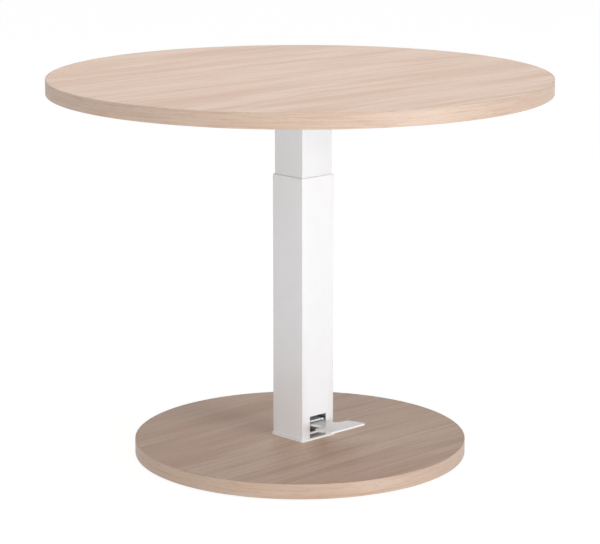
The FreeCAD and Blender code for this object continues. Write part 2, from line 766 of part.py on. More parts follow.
def ear_outline(sketch):
    """An ear: straight sides down from the treadle and a half circle round the pivot."""
    radius = number("ear_radius")
    height = number("pedal_lift")
    full = Part.Circle(FreeCAD.Vector(), UP, radius)
    lobe = sketch.addGeometry(Part.ArcOfCircle(full, math.pi, 2 * math.pi))
    corners = [FreeCAD.Vector(radius, 0), FreeCAD.Vector(radius, height),
               FreeCAD.Vector(-radius, height), FreeCAD.Vector(-radius, 0)]
    front, crown, back = [sketch.addGeometry(Part.LineSegment(start, end))
                          for start, end in zip(corners, corners[1:])]
    row = sketch.addConstraint(Sketcher.Constraint("Radius", lobe, radius))
    sketch.setExpression(f"Constraints[{row}]", expression("ear_radius"))
    for first, second in (((lobe, 3), (-1, 1)), ((lobe, 2), (front, 1)), ((front, 2), (crown, 1)),
                          ((crown, 2), (back, 1)), ((back, 2), (lobe, 1))):
        sketch.addConstraint(Sketcher.Constraint("Coincident", *first, *second))
    for end in (1, 2):
        sketch.addConstraint(Sketcher.Constraint("PointOnObject", lobe, end, -1))
    for side in (front, back):
        sketch.addConstraint(Sketcher.Constraint("Vertical", side))
    sketch.addConstraint(Sketcher.Constraint("Horizontal", crown))
    hold(sketch, "DistanceY", crown, 1, "pedal_lift")


def pedal_bushes():
    """Flanged plastic bushes between the pedal's ears and the bridge."""
    bushes = []
    barrels = ("neck_width / 2 - ear_sheet", "-neck_width / 2")
    flanges = ("neck_width / 2", "-neck_width / 2 - bush_flange")
    bores = ("neck_width / 2 - ear_sheet", "-neck_width / 2 - bush_flange")
    for index, (barrel, flange, bore) in enumerate(zip(barrels, flanges, bores), start=1):
        at = ("-pivot_inset", "pivot_axis_height", ALONG_X)
        sleeve = cylinder(f"bush_barrel_{index}", "bush_radius", "ear_sheet",
                          f"column_shift + {barrel}", *at)
        collar = cylinder(f"bush_collar_{index}", "bush_radius + bush_rim", "bush_flange",
                          f"column_shift + {flange}", *at)
        hole = cylinder(f"bush_bore_{index}", "pivot_hole_radius", "ear_sheet + bush_flange",
                        f"column_shift + {bore}", *at)
        bushes.append(cut(f"bush_{index}", fused(f"bush_blank_{index}", sleeve, collar), hole))
    group("pedal_bushes", bushes)


def hex_nut(name, flats, height, bore, bottom):
    """A nut on the column's axis."""
    body = new_body(name, x="column_shift", z=bottom)
    sketch = new_sketch(body, f"{name}_outline")
    hexagon(sketch, flats)
    circle(sketch, bore)
    pad(body, sketch, height)


def tube_points(inside, outside, low, high):
    """Outline of half a round tube: radii and heights."""
    return [(inside, low), (outside, low), (outside, high), (inside, high)]


def spring_rod():
    """Hollow rod that stands on the bridge, its nut, and the piston with its ring on top."""
    rod = new_body("gas_spring_rod", x="column_shift", z="rod_foot")
    revolve(rod, tube_points("rod_bore_radius", "rod_diameter / 2", "0", "rod_top - rod_foot"))
    hex_nut("gas_spring_rod_nut", "rod_nut_flats", "rod_nut_height", "rod_fit_radius", "bridge_top")
    piston = new_body("gas_spring_piston", x="column_shift", z="piston_foot")
    side = "cylinder_bore / 2 - piston_clearance"
    groove = f"{side} - piston_groove_depth"
    low = "(piston_height - piston_groove_height) / 2"
    high = "(piston_height + piston_groove_height) / 2"
    revolve(piston, [("rod_fit_radius", "0"), (side, "0"), (side, low), (groove, low), (groove, high),
                     (side, high), (side, "piston_height"), ("rod_fit_radius", "piston_height")])
    ring = new_body("gas_spring_piston_ring", x="column_shift", z=f"piston_foot + {low}")
    rim = "cylinder_bore / 2 - piston_ring_clearance"
    revolve(ring, tube_points(groove, rim, "0", "piston_groove_height"))


def spring_cylinder():
    """Pressure tube of the spring, with the rod's guide and seal in its foot and a stud on its head."""
    tube = new_body("gas_spring_cylinder", x="column_shift", z="cylinder_foot")
    bore = "cylinder_bore / 2"
    side = "cylinder_diameter / 2"
    mouth = f"{bore} - cylinder_lip_width"
    length = "cylinder_top - cylinder_foot"
    revolve(tube, [(mouth, "0"), (side, "0"), (side, length), (bore, length), (bore, "cylinder_lip"),
                   (mouth, "cylinder_lip")])
    fit = f"{bore} - running_clearance"
    guide = new_body("gas_spring_rod_guide", x="column_shift", z="cylinder_foot + cylinder_lip")
    revolve(guide, tube_points("rod_fit_radius", fit, "0", "rod_guide_height"))
    seal = new_body("gas_spring_rod_seal", x="column_shift", z="seal_foot")
    revolve(seal, tube_points("rod_fit_radius", fit, "0", "rod_seal_height"))
    plug = new_body("gas_spring_end_plug", x="column_shift", z="cylinder_top - end_plug_height")
    seat = "end_plug_height"
    shoulder = "end_plug_height + end_plug_collar"
    stud = "stud_diameter / 2"
    tip = f"{shoulder} + plate_thickness + stud_nut_height + stud_overhang"
    revolve(plug, [("0", "0"), (fit, "0"), (fit, seat), (side, seat), (side, shoulder), (stud, shoulder),
                   (stud, tip), ("0", tip)])
    hex_nut("gas_spring_stud_nut", "stud_nut_flats", "stud_nut_height",
            "stud_diameter / 2 + running_clearance", "top_underside")


def release_pin():
    """Pin inside the rod that the pedal pushes up to open the spring's valve."""
    body = new_body("release_pin", x="column_shift", z="release_tip")
    sketch = new_sketch(body, "release_pin_outline")
    circle(sketch, "release_pin_diameter / 2")
    shank = pad(body, sketch, "rod_top - release_pin_top_gap - release_tip")
    dress(body, shank, "Fillet", "release_pin_tip_radius",
          lambda edge: hasattr(edge.Curve, "Radius") and edge.CenterOfMass.z < number("release_pin_diameter"))


def check():
    """Stop if any object failed or any sub-part has no sound shape."""
    for item in doc.Objects:
        if any(word in state for state in item.State for word in ("Invalid", "Error")):
            raise RuntimeError(f"{item.Name} failed: {item.State}")
    for piece in pieces:
        if piece.Shape.isNull() or not piece.Shape.isValid():
            raise RuntimeError(f"{piece.Label} has no sound shape")


def main():
    """Build every sub-part, check them and write one file each."""
    fill_sheet()
    base_boards()
    floor_glides()
    base_clamp_plate()
    base_bolts()
    column_flange()
    outer_column()
    pedal_bracket()
    pivot_pin()
    pivot_clips()
    spring_rod()
    guide_sleeves()
    top_boards()
    top_mounting_plate()
    top_plate_screws()
    inner_column()
    spring_cylinder()
    foot_pedal()
    pedal_bushes()
    release_pin()
    doc.recompute()
    check()
    os.makedirs("parts", exist_ok=True)
    for piece in pieces:
        piece.Shape.exportStep(os.path.join("parts", f"{piece.Label}.step"))
        print(piece.Label, len(piece.Shape.Solids), round(piece.Shape.Volume))


main()
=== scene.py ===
"""Looks of an adjustable dining table: two round oak boards, a white telescopic column and a foot pedal.

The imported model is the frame, in metres. The pieces that show most are modelled over it at the frame's own
sizes, every other node keeps its shape and gets a finish, and a plain studio holds the lamps and the camera.
"""

from __future__ import annotations

import logging
import math
from collections.abc import Callable
from dataclasses import dataclass, field, replace
from enum import Enum
from typing import Any

import bmesh
import bpy
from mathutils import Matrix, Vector

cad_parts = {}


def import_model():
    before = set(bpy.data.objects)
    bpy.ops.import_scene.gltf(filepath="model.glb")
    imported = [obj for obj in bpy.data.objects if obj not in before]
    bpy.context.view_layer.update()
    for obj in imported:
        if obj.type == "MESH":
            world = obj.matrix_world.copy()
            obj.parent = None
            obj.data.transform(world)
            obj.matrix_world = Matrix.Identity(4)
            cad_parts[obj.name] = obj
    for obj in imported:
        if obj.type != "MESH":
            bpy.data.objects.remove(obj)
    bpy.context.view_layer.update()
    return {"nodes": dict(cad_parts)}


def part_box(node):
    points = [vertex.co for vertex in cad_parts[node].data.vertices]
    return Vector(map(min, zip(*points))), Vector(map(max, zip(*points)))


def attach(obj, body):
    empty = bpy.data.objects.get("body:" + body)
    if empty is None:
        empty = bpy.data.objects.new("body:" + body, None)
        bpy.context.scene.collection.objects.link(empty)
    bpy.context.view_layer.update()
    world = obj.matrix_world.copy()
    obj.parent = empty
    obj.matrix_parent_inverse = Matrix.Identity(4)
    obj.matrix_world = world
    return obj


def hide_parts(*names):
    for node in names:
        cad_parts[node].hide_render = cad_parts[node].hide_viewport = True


LOG = logging.getLogger("dining_table")
MM_PER_METRE = 1000.0


def linear(hex_colour: str) -> tuple[float, float, float, float]:
    """Turns an sRGB hex colour into the linear colour that shaders take.

    Args:
        hex_colour: Six hex digits, red first.

    Returns:
        Red, green and blue in linear light, and full alpha.
    """
    codes = [int(hex_colour[start:start + 2], 16) / 255 for start in (0, 2, 4)]
    lights = [code / 12.92 if code <= 0.04045 else ((code + 0.055) / 1.055) ** 2.4 for code in codes]
    return (lights[0], lights[1], lights[2], 1.0)


def cells(*sizes_mm: float) -> tuple[float, ...]:
    """Turns the real sizes of a pattern's marks, in millimetres, into texture scales per metre."""
    return tuple(MM_PER_METRE / size for size in sizes_mm)


def add_node(
    tree: bpy.types.NodeTree,
    kind: str,
    inputs: dict[str | int, Any] | None = None,
    **settings: Any,
) -> bpy.types.Node:
    """Adds one shader node, with its settings, and fills or links its inputs.

    Args:
        tree: The node tree that the node joins.
        kind: The node's type name.
        inputs: A value or another node's output for each input, by name or by number.
        **settings: The node's own properties.

    Returns:
        The new node.
    """
    node = tree.nodes.new(kind)
    for name, value in settings.items():
        setattr(node, name, value)
    for key, value in (inputs or {}).items():
        if isinstance(value, bpy.types.NodeSocket):
            tree.links.new(value, node.inputs[key])
        else:
            node.inputs[key].default_value = value
    return node


@dataclass(frozen=True)
class Finish:
    """A real material and how its surface was made, drawn as one shader material."""

    name: str

    def material(self) -> bpy.types.Material:
        """Gives the finish's material, which is made the first time it is asked for.

        Returns:
            The shader material under the finish's name.
        """
        made = bpy.data.materials.get(self.name)
        if made is None:
            made = bpy.data.materials.new(self.name)
            made.use_nodes = True
            tree = made.node_tree
            tree.nodes.clear()
            shader = add_node(tree, "ShaderNodeBsdfPrincipled", self.paint(tree))
            add_node(tree, "ShaderNodeOutputMaterial", {"Surface": shader.outputs["BSDF"]})
        return made

    def paint(self, tree: bpy.types.NodeTree) -> dict[str, Any]:
        """Draws the finish's patterns.

        Args:
            tree: The node tree to draw in.

        Returns:
            A value or an output for each input of the surface shader.
        """
        raise NotImplementedError


class Grain(Enum):
    """Which way printed wood grain runs."""

    ALONG_TABLE = "along the table's x axis"
    ROUND_RIM = "round the rim of a board"


@dataclass(frozen=True)
class GrainMark:
    """One kind of mark in printed wood grain, drawn where a stretched noise is high.

    The mark starts to show where the noise passes low, and has its full weight from high on.
    """

    length_mm: float
    width_mm: float
    low: float
    high: float
    colour: str
    weight: float
    detail: float = 2.0


@dataclass(frozen=True)
class OakDecor(Finish):
    """Oak decor paper under matt melamine: pale pinkish wood, long soft streaks and short fine pores."""

    grain: Grain = Grain.ALONG_TABLE
    rim_radius: float = 0.5
    joint_angle: float = math.radians(46.5)
    shift: tuple[float, float, float] = (0.0, 0.0, 0.0)
    pale: str = "E2C8B5"
    sway_mm: tuple[float, float] = (620.0, 150.0)
    sway: float = 0.022
    sway_detail: float = 1.0
    # The pores are really about 0.3 mm wide, and are drawn three times as wide so that they show.
    marks: tuple[GrainMark, ...] = (
        GrainMark(900.0, 110.0, 0.44, 0.66, "D8B9A2", 0.80),
        GrainMark(520.0, 44.0, 0.50, 0.68, "CFAA92", 0.65),
        GrainMark(420.0, 11.0, 0.52, 0.68, "CBA58A", 0.56, 4.0),
        GrainMark(200.0, 3.2, 0.48, 0.70, "CCA88F", 0.56, 3.0),
        GrainMark(13.0, 0.9, 0.58, 0.72, "B69079", 0.55),
    )
    # How much each finer octave of a mark's noise adds to it.
    mark_roughness: float = 0.55
    smooth: float = 0.40
    rough: float = 0.52
    grain_depth: float = 0.00006
    grain_strength: float = 0.5
    ior: float = 1.5
    sheen_level: float = 0.20

    def along_grain(self, tree: bpy.types.NodeTree) -> bpy.types.NodeSocket:
        """Gives the place on the board as length along the grain, width across it and depth.

        Args:
            tree: The node tree to draw in.

        Returns:
            The vector output to draw the grain on.
        """
        here = add_node(tree, "ShaderNodeTexCoord").outputs["Object"]
        if self.grain is Grain.ALONG_TABLE:
            return here
        turn = (0.0, 0.0, math.pi - self.joint_angle)
        turned = add_node(tree, "ShaderNodeMapping", {"Vector": here, "Rotation": turn})
        axes = add_node(tree, "ShaderNodeSeparateXYZ", {"Vector": turned.outputs["Vector"]})
        angle = add_node(
            tree, "ShaderNodeMath", {0: axes.outputs["Y"], 1: axes.outputs["X"]}, operation="ARCTAN2"
        )
        arc = add_node(
            tree, "ShaderNodeMath", {0: angle.outputs["Value"], 1: self.rim_radius}, operation="MULTIPLY"
        )
        rim = {"X": arc.outputs["Value"], "Y": axes.outputs["Z"]}
        return add_node(tree, "ShaderNodeCombineXYZ", rim).outputs["Vector"]

    def swayed(self, tree: bpy.types.NodeTree) -> bpy.types.NodeSocket:
        """Lets the grain wander sideways, slowly, as it does in a real board.

        Args:
            tree: The node tree to draw in.

        Returns:
            The vector output of the wandering grain.
        """
        here = self.along_grain(tree)
        length, width = self.sway_mm
        spread = add_node(
            tree,
            "ShaderNodeMapping",
            {"Vector": here, "Location": self.shift, "Scale": cells(length, width, width)},
        )
        drift = add_node(
            tree,
            "ShaderNodeTexNoise",
            {"Vector": spread.outputs["Vector"], "Scale": 1.0, "Detail": self.sway_detail},
        )
        axes = add_node(tree, "ShaderNodeSeparateXYZ", {"Vector": here})
        across = add_node(
            tree,
            "ShaderNodeMath",
            {0: drift.outputs["Fac"], 1: self.sway, 2: axes.outputs["Y"]},
            operation="MULTIPLY_ADD",
        )
        bent = {"X": axes.outputs["X"], "Y": across.outputs["Value"], "Z": axes.outputs["Z"]}
        return add_node(tree, "ShaderNodeCombineXYZ", bent).outputs["Vector"]

    def paint(self, tree: bpy.types.NodeTree) -> dict[str, Any]:
        """Lays the marks over the pale ground, widest first, and lets the finest roughen the face.

        Args:
            tree: The node tree to draw in.

        Returns:
            The inputs of the surface shader.
        """
        grain = self.swayed(tree)
        colour: Any = linear(self.pale)
        fine = None
        for mark in self.marks:
            spread = add_node(
                tree,
                "ShaderNodeMapping",
                {
                    "Vector": grain,
                    "Location": self.shift,
                    "Scale": cells(mark.length_mm, mark.width_mm, mark.width_mm),
                },
            )
            noise = add_node(
                tree,
                "ShaderNodeTexNoise",
                {
                    "Vector": spread.outputs["Vector"],
                    "Scale": 1.0,
                    "Detail": mark.detail,
                    "Roughness": self.mark_roughness,
                },
            )
            fine = add_node(
                tree,
                "ShaderNodeMapRange",
                {
                    "Value": noise.outputs["Fac"],
                    "From Min": mark.low,
                    "From Max": mark.high,
                    "To Max": mark.weight,
                },
                interpolation_type="SMOOTHSTEP",
            ).outputs["Result"]
            laid = add_node(
                tree, "ShaderNodeMix", {0: fine, 6: colour, 7: linear(mark.colour)}, data_type="RGBA"
            )
            colour = laid.outputs[2]
        rough = add_node(
            tree, "ShaderNodeMapRange", {"Value": fine, "To Min": self.smooth, "To Max": self.rough}
        )
        sunk = add_node(
            tree,
            "ShaderNodeBump",
            {"Height": fine, "Distance": self.grain_depth, "Strength": self.grain_strength},
            invert=True,
        )
        return {
            "Base Color": colour,
            "Roughness": rough.outputs["Result"],
            "IOR": self.ior,
            "Specular IOR Level": self.sheen_level,
            "Normal": sunk.outputs["Normal"],
        }


@dataclass(frozen=True)
class Coating(Finish):
    """A sprayed or moulded skin: one colour, faintly mottled, with a fine orange peel or mould grain."""

    colour: str = "F2F3F5"
    mottle: str = "ECEDEF"
    mottle_mm: float = 45.0
    mottle_detail: float = 3.0
    peel_mm: float = 2.4
    peel_detail: float = 2.0
    peel_depth: float = 0.00004
    peel_strength: float = 0.35
    smooth: float = 0.30
    rough: float = 0.40
    ior: float = 1.5
    coat: float = 0.0

    def paint(self, tree: bpy.types.NodeTree) -> dict[str, Any]:
        """Mottles the colour and raises the peel, which also breaks up the gloss.

        Args:
            tree: The node tree to draw in.

        Returns:
            The inputs of the surface shader.
        """
        here = add_node(tree, "ShaderNodeTexCoord").outputs["Object"]
        cloud = add_node(
            tree,
            "ShaderNodeTexNoise",
            {"Vector": here, "Scale": cells(self.mottle_mm)[0], "Detail": self.mottle_detail},
        )
        tint = add_node(
            tree,
            "ShaderNodeMix",
            {0: cloud.outputs["Fac"], 6: linear(self.colour), 7: linear(self.mottle)},
            data_type="RGBA",
        )
        peel = add_node(
            tree,
            "ShaderNodeTexNoise",
            {"Vector": here, "Scale": cells(self.peel_mm)[0], "Detail": self.peel_detail},
        )
        gloss = add_node(
            tree,
            "ShaderNodeMapRange",
            {"Value": peel.outputs["Fac"], "To Min": self.smooth, "To Max": self.rough},
        )
        raised = add_node(
            tree,
            "ShaderNodeBump",
            {"Height": peel.outputs["Fac"], "Distance": self.peel_depth, "Strength": self.peel_strength},
        )
        return {
            "Base Color": tint.outputs[2],
            "Roughness": gloss.outputs["Result"],
            "IOR": self.ior,
            "Coat Weight": self.coat,
            "Normal": raised.outputs["Normal"],
        }


@dataclass(frozen=True)
class BoreShadedCoat(Coating):
    """A white coat on a foot with a tube welded on it, with painted shade: inside the tube it is painted grey
    for the shade in there.
    """

    axis: tuple[float, float, float] = (0.009, 0.0, 0.0)
    # Half the bore's width, up to the middle of the tube's wall, which hides where the painted shade starts.
    bore: float = 0.0425
    fade: float = 0.0006
    # Painted shade: the grey that stands in for the shade on the floor inside the tube.
    bore_shade: str = "C6C4C1"

    def paint(self, tree: bpy.types.NodeTree) -> dict[str, Any]:
        """Paints the coat, and painted shade in grey wherever the place lies inside the tube's bore.

        Args:
            tree: The node tree to draw in.

        Returns:
            The inputs of the surface shader.
        """
        inputs = super().paint(tree)
        here = add_node(tree, "ShaderNodeTexCoord").outputs["Object"]
        away = add_node(tree, "ShaderNodeVectorMath", {0: here, 1: self.axis}, operation="SUBTRACT")
        plain = add_node(tree, "ShaderNodeVectorMath", {0: away.outputs["Vector"]}, operation="ABSOLUTE")
        sides = add_node(tree, "ShaderNodeSeparateXYZ", {"Vector": plain.outputs["Vector"]})
        reach = add_node(
            tree, "ShaderNodeMath", {0: sides.outputs["X"], 1: sides.outputs["Y"]}, operation="MAXIMUM"
        )
        clear_of_shade = add_node(
            tree,
            "ShaderNodeMapRange",
            {
                "Value": reach.outputs["Value"],
                "From Min": self.bore - self.fade / 2,
                "From Max": self.bore + self.fade / 2,
            },
        )
        inputs["Base Color"] = add_node(
            tree,
            "ShaderNodeMix",
            {0: clear_of_shade.outputs["Result"], 6: linear(self.bore_shade), 7: inputs["Base Color"]},
            data_type="RGBA",
        ).outputs[2]
        return inputs


@dataclass(frozen=True)
class BareMetal(Finish):
    """Plated or turned metal: bright, with fine tool lines round or along it and a cloudy sheen."""

    colour: str = "B9BBBD"
    cloud: str = "A6A7A6"
    cloud_mm: float = 7.0
    cloud_detail: float = 4.0
    line_mm: tuple[float, float, float] = (6.0, 6.0, 0.5)
    line_detail: float = 2.0
    line_depth: float = 0.00001
    line_strength: float = 0.4
    smooth: float = 0.22
    rough: float = 0.38

    def paint(self, tree: bpy.types.NodeTree) -> dict[str, Any]:
        """Clouds the plating and draws the tool lines.

        Args:
            tree: The node tree to draw in.

        Returns:
            The inputs of the surface shader.
        """
        here = add_node(tree, "ShaderNodeTexCoord").outputs["Object"]
        cloud = add_node(
            tree,
            "ShaderNodeTexNoise",
            {"Vector": here, "Scale": cells(self.cloud_mm)[0], "Detail": self.cloud_detail},
        )
        tint = add_node(
            tree,
            "ShaderNodeMix",
            {0: cloud.outputs["Fac"], 6: linear(self.colour), 7: linear(self.cloud)},
            data_type="RGBA",
        )
        spread = add_node(tree, "ShaderNodeMapping", {"Vector": here, "Scale": cells(*self.line_mm)})
        lines = add_node(
            tree,
            "ShaderNodeTexNoise",
            {"Vector": spread.outputs["Vector"], "Scale": 1.0, "Detail": self.line_detail},
        )
        gloss = add_node(
            tree,
            "ShaderNodeMapRange",
            {"Value": lines.outputs["Fac"], "To Min": self.smooth, "To Max": self.rough},
        )
        scored = add_node(
            tree,
            "ShaderNodeBump",
            {"Height": lines.outputs["Fac"], "Distance": self.line_depth, "Strength": self.line_strength},
        )
        return {
            "Base Color": tint.outputs[2],
            "Metallic": 1.0,
            "Roughness": gloss.outputs["Result"],
            "Normal": scored.outputs["Normal"],
        }


@dataclass(frozen=True)
class Chipboard(Finish):
    """Pressed wood chips: a patchwork of small tan flakes, each a little lighter or darker than the next."""

    colour: str = "C9A67C"
    dark: str = "8E6A45"
    flake_mm: tuple[float, float, float] = (6.0, 6.0, 1.6)
    flake_height: float = 0.0003
    flake_strength: float = 0.6
    roughness: float = 0.85

    def paint(self, tree: bpy.types.NodeTree) -> dict[str, Any]:
        """Colours each flake by itself and lets its edges stand up.

        Args:
            tree: The node tree to draw in.

        Returns:
            The inputs of the surface shader.
        """
        here = add_node(tree, "ShaderNodeTexCoord").outputs["Object"]
        spread = add_node(tree, "ShaderNodeMapping", {"Vector": here, "Scale": cells(*self.flake_mm)})
        flakes = add_node(tree, "ShaderNodeTexVoronoi", {"Vector": spread.outputs["Vector"], "Scale": 1.0})
        shade = add_node(tree, "ShaderNodeSeparateColor", {"Color": flakes.outputs["Color"]})
        tint = add_node(
            tree,
            "ShaderNodeMix",
            {0: shade.outputs["Red"], 6: linear(self.colour), 7: linear(self.dark)},
            data_type="RGBA",
        )
        edges = add_node(
            tree,
            "ShaderNodeBump",
            {
                "Height": flakes.outputs["Distance"],
                "Distance": self.flake_height,
                "Strength": self.flake_strength,
            },
        )
        return {
            "Base Color": tint.outputs[2],
            "Roughness": self.roughness,
            "Normal": edges.outputs["Normal"],
        }


# Matt melamine oak: the two boards are cut from different stretches of the same decor, and the base's ground
# and marks are painted darker than the top's, as painted shade under the top.
TOP_OAK = OakDecor("matt_melamine_oak_top")
SHADED_BASE_OAK = OakDecor(
    "matt_melamine_oak_base_painted_shade",
    shift=(3.7, 11.3, 5.1),
    # Painted shade: a darker ground than the top's, for the shade that the top casts on the base.
    pale="DEC4B0",
    marks=(
        GrainMark(900.0, 110.0, 0.42, 0.64, "D1B19B", 0.85),
        GrainMark(620.0, 64.0, 0.48, 0.66, "C9A58F", 0.70),
        GrainMark(400.0, 9.0, 0.52, 0.68, "C39C83", 0.42, 4.0),
        GrainMark(200.0, 3.2, 0.48, 0.70, "C09A82", 0.65, 3.0),
        GrainMark(13.0, 0.9, 0.58, 0.72, "AC866F", 0.65),
    ),
)
# Oak-print ABS edging under clear lacquer: a little yellower than the faces, with a broad strong sheen,
# and with its grain running round the rim.
RIM_MARKS = (
    GrainMark(420.0, 22.0, 0.42, 0.68, "CAAF9A", 0.40),
    GrainMark(200.0, 5.0, 0.48, 0.66, "BFA089", 0.45, 3.0),
    GrainMark(90.0, 2.4, 0.46, 0.68, "B6957F", 0.60, 3.0),
    GrainMark(16.0, 1.2, 0.55, 0.72, "A1816D", 0.50),
)
TOP_EDGING = OakDecor(
    "oak_print_edging_top",
    grain=Grain.ROUND_RIM,
    rim_radius=0.5,
    pale="CAB3A1",
    marks=RIM_MARKS,
    smooth=0.52,
    rough=0.58,
    grain_depth=0.00002,
    sheen_level=0.95,
)
BASE_EDGING = replace(
    TOP_EDGING, name="oak_print_edging_base", rim_radius=0.335, shift=(7.9, 2.3, 1.7)
)
# White polyester powder coat on steel: satin, with an orange peel drawn twice its real size so that it shows.
POWDER_COAT = Coating("white_polyester_powder_coat")
# The flange's white coat, with painted shade in grey on its floor inside the tube.
BORE_SHADED_COAT = BoreShadedCoat("white_powder_coat_painted_bore_shade")
# The pedal's coat is polished by shoes, which leaves it glossier than the column, and its colour is painted a
# little brighter than the column's, as painted light.
POLISHED_LIT_COAT = replace(
    POWDER_COAT, name="polished_white_powder_coat_painted_light", colour="F6F6F7", mottle="F1F1F2", smooth=0.20, rough=0.30
)
# The inner tube's coat is painted a little greyer than the outer tube's, as painted shade from the top that
# hangs over it.
SHADED_INNER_COAT = replace(POWDER_COAT, name="white_powder_coat_painted_inner_shade", colour="EAEBED", mottle="E4E5E7")
# Glossy black stoved enamel of the gas spring's cylinder.
ENAMEL = Coating(
    "black_stoved_enamel",
    colour="151618",
    mottle="1E1F21",
    mottle_mm=18.0,
    peel_mm=1.6,
    peel_depth=0.00002,
    peel_strength=0.3,
    smooth=0.16,
    rough=0.26,
    coat=0.4,
)
# Moulded acetal and nylon: soft sheen with the fine grain of the mould.
WHITE_NYLON = Coating(
    "white_moulded_nylon",
    colour="E9E7E0",
    mottle="E1DED5",
    mottle_mm=12.0,
    peel_mm=0.8,
    peel_strength=0.4,
    smooth=0.38,
    rough=0.52,
    ior=1.53,
)
GREY_NYLON = replace(
    WHITE_NYLON,
    name="grey_moulded_nylon",
    colour="7C7E80",
    mottle="6E7072",
    mottle_mm=9.0,
    peel_depth=0.00005,
    peel_strength=0.5,
    smooth=0.45,
    rough=0.60,
)
# Moulded nitrile rubber: dull black, with a dusty bloom.
RUBBER = Coating(
    "black_nitrile_rubber",
    colour="1B1B1B",
    mottle="292827",
    mottle_mm=5.0,
    peel_mm=0.6,
    peel_depth=0.00005,
    peel_strength=0.5,
    smooth=0.62,
    rough=0.80,
    ior=1.52,
)
# Plain melamine backing sheet: beige to go with the oak, with the pearl grain of the press plate.
BACKING = Coating(
    "beige_melamine_backing",
    colour="CDB5A2",
    mottle="C6AD99",
    mottle_mm=60.0,
    peel_mm=1.5,
    peel_depth=0.00006,
    peel_strength=0.5,
    smooth=0.46,
    rough=0.60,
)
# Bright zinc plating: pale bluish grey, cloudy, with the marks of rolling and turning under it.
ZINC = BareMetal("bright_zinc_plating")
# Hard chrome: almost a mirror, ground along its length.
CHROME = BareMetal(
    "ground_hard_chrome",
    colour="CFD1D3",
    cloud="C4C6C9",
    cloud_mm=15.0,
    line_mm=(0.6, 0.6, 40.0),
    line_depth=0.000004,
    smooth=0.08,
    rough=0.16,
)
# Turned aluminium alloy: soft grey-white with fine rings.
ALLOY = BareMetal(
    "turned_aluminium_alloy",
    colour="D2D3D2",
    cloud="C3C4C3",
    cloud_mm=9.0,
    line_mm=(5.0, 5.0, 0.4),
    line_depth=0.00002,
    smooth=0.26,
    rough=0.42,
)
# Raw pressed chipboard: dull and tan, a patchwork of flakes that lie flat in the board.
CHIPBOARD = Chipboard("pressed_chipboard")


class Pick(Enum):
    """What a selection is made of, by the name that the select mode takes."""

    FACES = "FACE"
    EDGES = "EDGE"
    POINTS = "VERT"


# What a selection asks of each face, edge or point: its middle, and its normal or direction.
Test = Callable[[Vector, Vector], bool]
# How nearly a normal or a direction lies along an axis to count as pointing that way.
ALONG_AXIS = 0.9
# Edges that turn by more than this are softened.
SHARP_TURN = math.radians(40)


